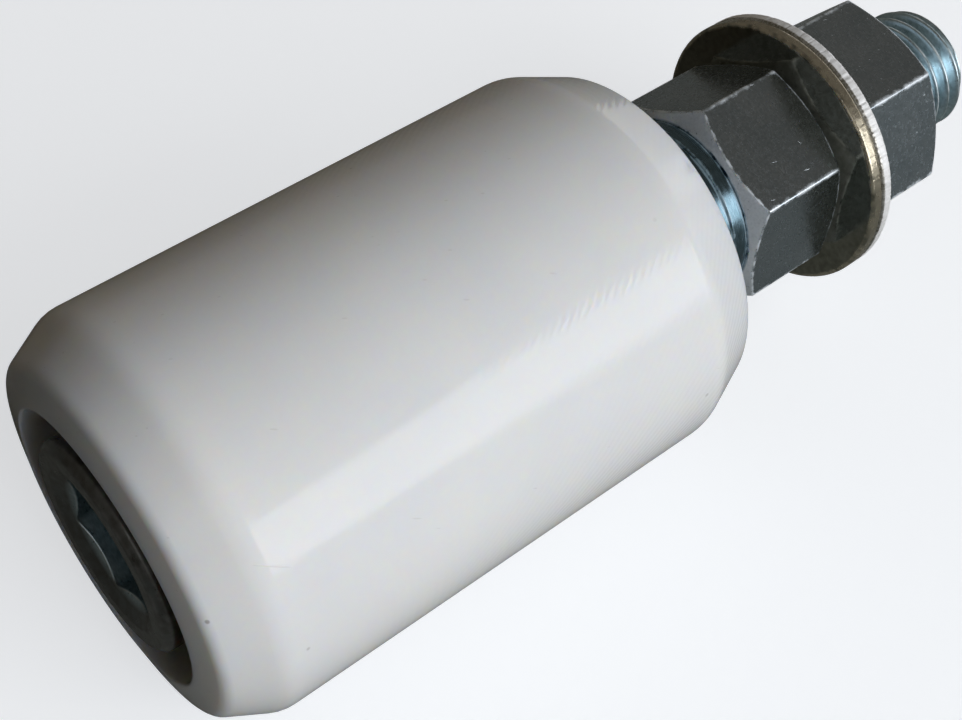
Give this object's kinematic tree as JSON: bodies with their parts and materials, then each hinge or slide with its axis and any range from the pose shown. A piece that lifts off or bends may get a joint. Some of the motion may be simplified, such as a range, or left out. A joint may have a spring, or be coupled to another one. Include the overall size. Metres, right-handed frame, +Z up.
{
  "type": "cam follower",
  "caption": "Stud-type cam follower: a plastic roller on sealed ball bearings over a socket head screw, with a spacer, washers and hexagon nuts on the threaded end.",
  "frame": {"origin": "on the floor under the middle of the length, with the part lying on its roller", "axes": "+Y along the screw from the roller's front face towards the threaded end, +Z up"},
  "size_m": [0.058, 0.1528, 0.058],
  "materials": {
    "roller_plastic": "turned white plastic, satin, faint lathe ripple",
    "screw_steel": "blue zinc plated, dark in the head, scratched on the crests",
    "blue_zinc": "blue zinc plated, turned",
    "nut_zinc": "zinc plated, speckled, worn bright on the edges",
    "washer_zinc": "olive zinc plated, mirror smooth face",
    "outer_washer_zinc": "zinc plated, sheared and striated rim",
    "bearing_steel": "ground and polished",
    "cage_brass": "satin",
    "seal_rubber": "matte black",
    "spring_steel": "blackened spring steel"
  },
  "bodies": {
    "stud": {"socket_head_screw": "screw_steel", "head_spacer": "blue_zinc", "front_bearing_inner_ring": "bearing_steel", "inner_sleeve": "blue_zinc", "rear_bearing_inner_ring": "bearing_steel", "rear_spacer": "blue_zinc", "shim_ring": "blue_zinc", "inner_nut": "nut_zinc", "inner_washer": "washer_zinc"},
    "roller": {"roller": "roller_plastic", "front_bearing_outer_ring": "bearing_steel", "front_bearing_front_seal": "seal_rubber", "front_bearing_rear_seal": "seal_rubber", "rear_bearing_outer_ring": "bearing_steel", "rear_bearing_front_seal": "seal_rubber", "rear_bearing_rear_seal": "seal_rubber", "outer_sleeve": "blue_zinc", "retaining_ring": "spring_steel"},
    "front_cage": {"front_bearing_cage": "cage_brass", "front_bearing_ball_1": "bearing_steel", "front_bearing_ball_2": "bearing_steel", "front_bearing_ball_3": "bearing_steel", "front_bearing_ball_4": "bearing_steel", "front_bearing_ball_5": "bearing_steel", "front_bearing_ball_6": "bearing_steel", "front_bearing_ball_7": "bearing_steel", "front_bearing_ball_8": "bearing_steel"},
    "rear_cage": {"rear_bearing_cage": "cage_brass", "rear_bearing_ball_1": "bearing_steel", "rear_bearing_ball_2": "bearing_steel", "rear_bearing_ball_3": "bearing_steel", "rear_bearing_ball_4": "bearing_steel", "rear_bearing_ball_5": "bearing_steel", "rear_bearing_ball_6": "bearing_steel", "rear_bearing_ball_7": "bearing_steel", "rear_bearing_ball_8": "bearing_steel"},
    "outer_washer": {"outer_washer": "outer_washer_zinc"},
    "outer_nut": {"outer_nut": "nut_zinc"}
  },
  "joints": [
    {"name": "roller_spin", "type": "hinge", "parent": "stud", "child": "roller", "pos_m": [0, 0, 0.029], "axis": [0, 1, 0], "continuous": true},
    {"name": "front_cage_spin", "type": "hinge", "parent": "stud", "child": "front_cage", "pos_m": [0, 0, 0.029], "axis": [0, 1, 0], "continuous": true},
    {"name": "rear_cage_spin", "type": "hinge", "parent": "stud", "child": "rear_cage", "pos_m": [0, 0, 0.029], "axis": [0, 1, 0], "continuous": true},
    {"name": "outer_washer_slide", "type": "slide", "parent": "stud", "child": "outer_washer", "axis": [0, 1, 0], "range_m": [0, 0.01313]},
    {"name": "outer_nut_spin", "type": "hinge", "parent": "outer_washer", "child": "outer_nut", "pos_m": [0, 0, 0.029], "axis": [0, 1, 0], "range_deg": [0, 1890]}
  ],
  "couplings": [
    {"joint": "front_cage_spin", "follows": "roller_spin", "ratio": 0.61851},
    {"joint": "rear_cage_spin", "follows": "roller_spin", "ratio": 0.61851},
    {"joint": "outer_washer_slide", "follows": "outer_nut_spin", "m_per_rad": 0.00039789}
  ]
}
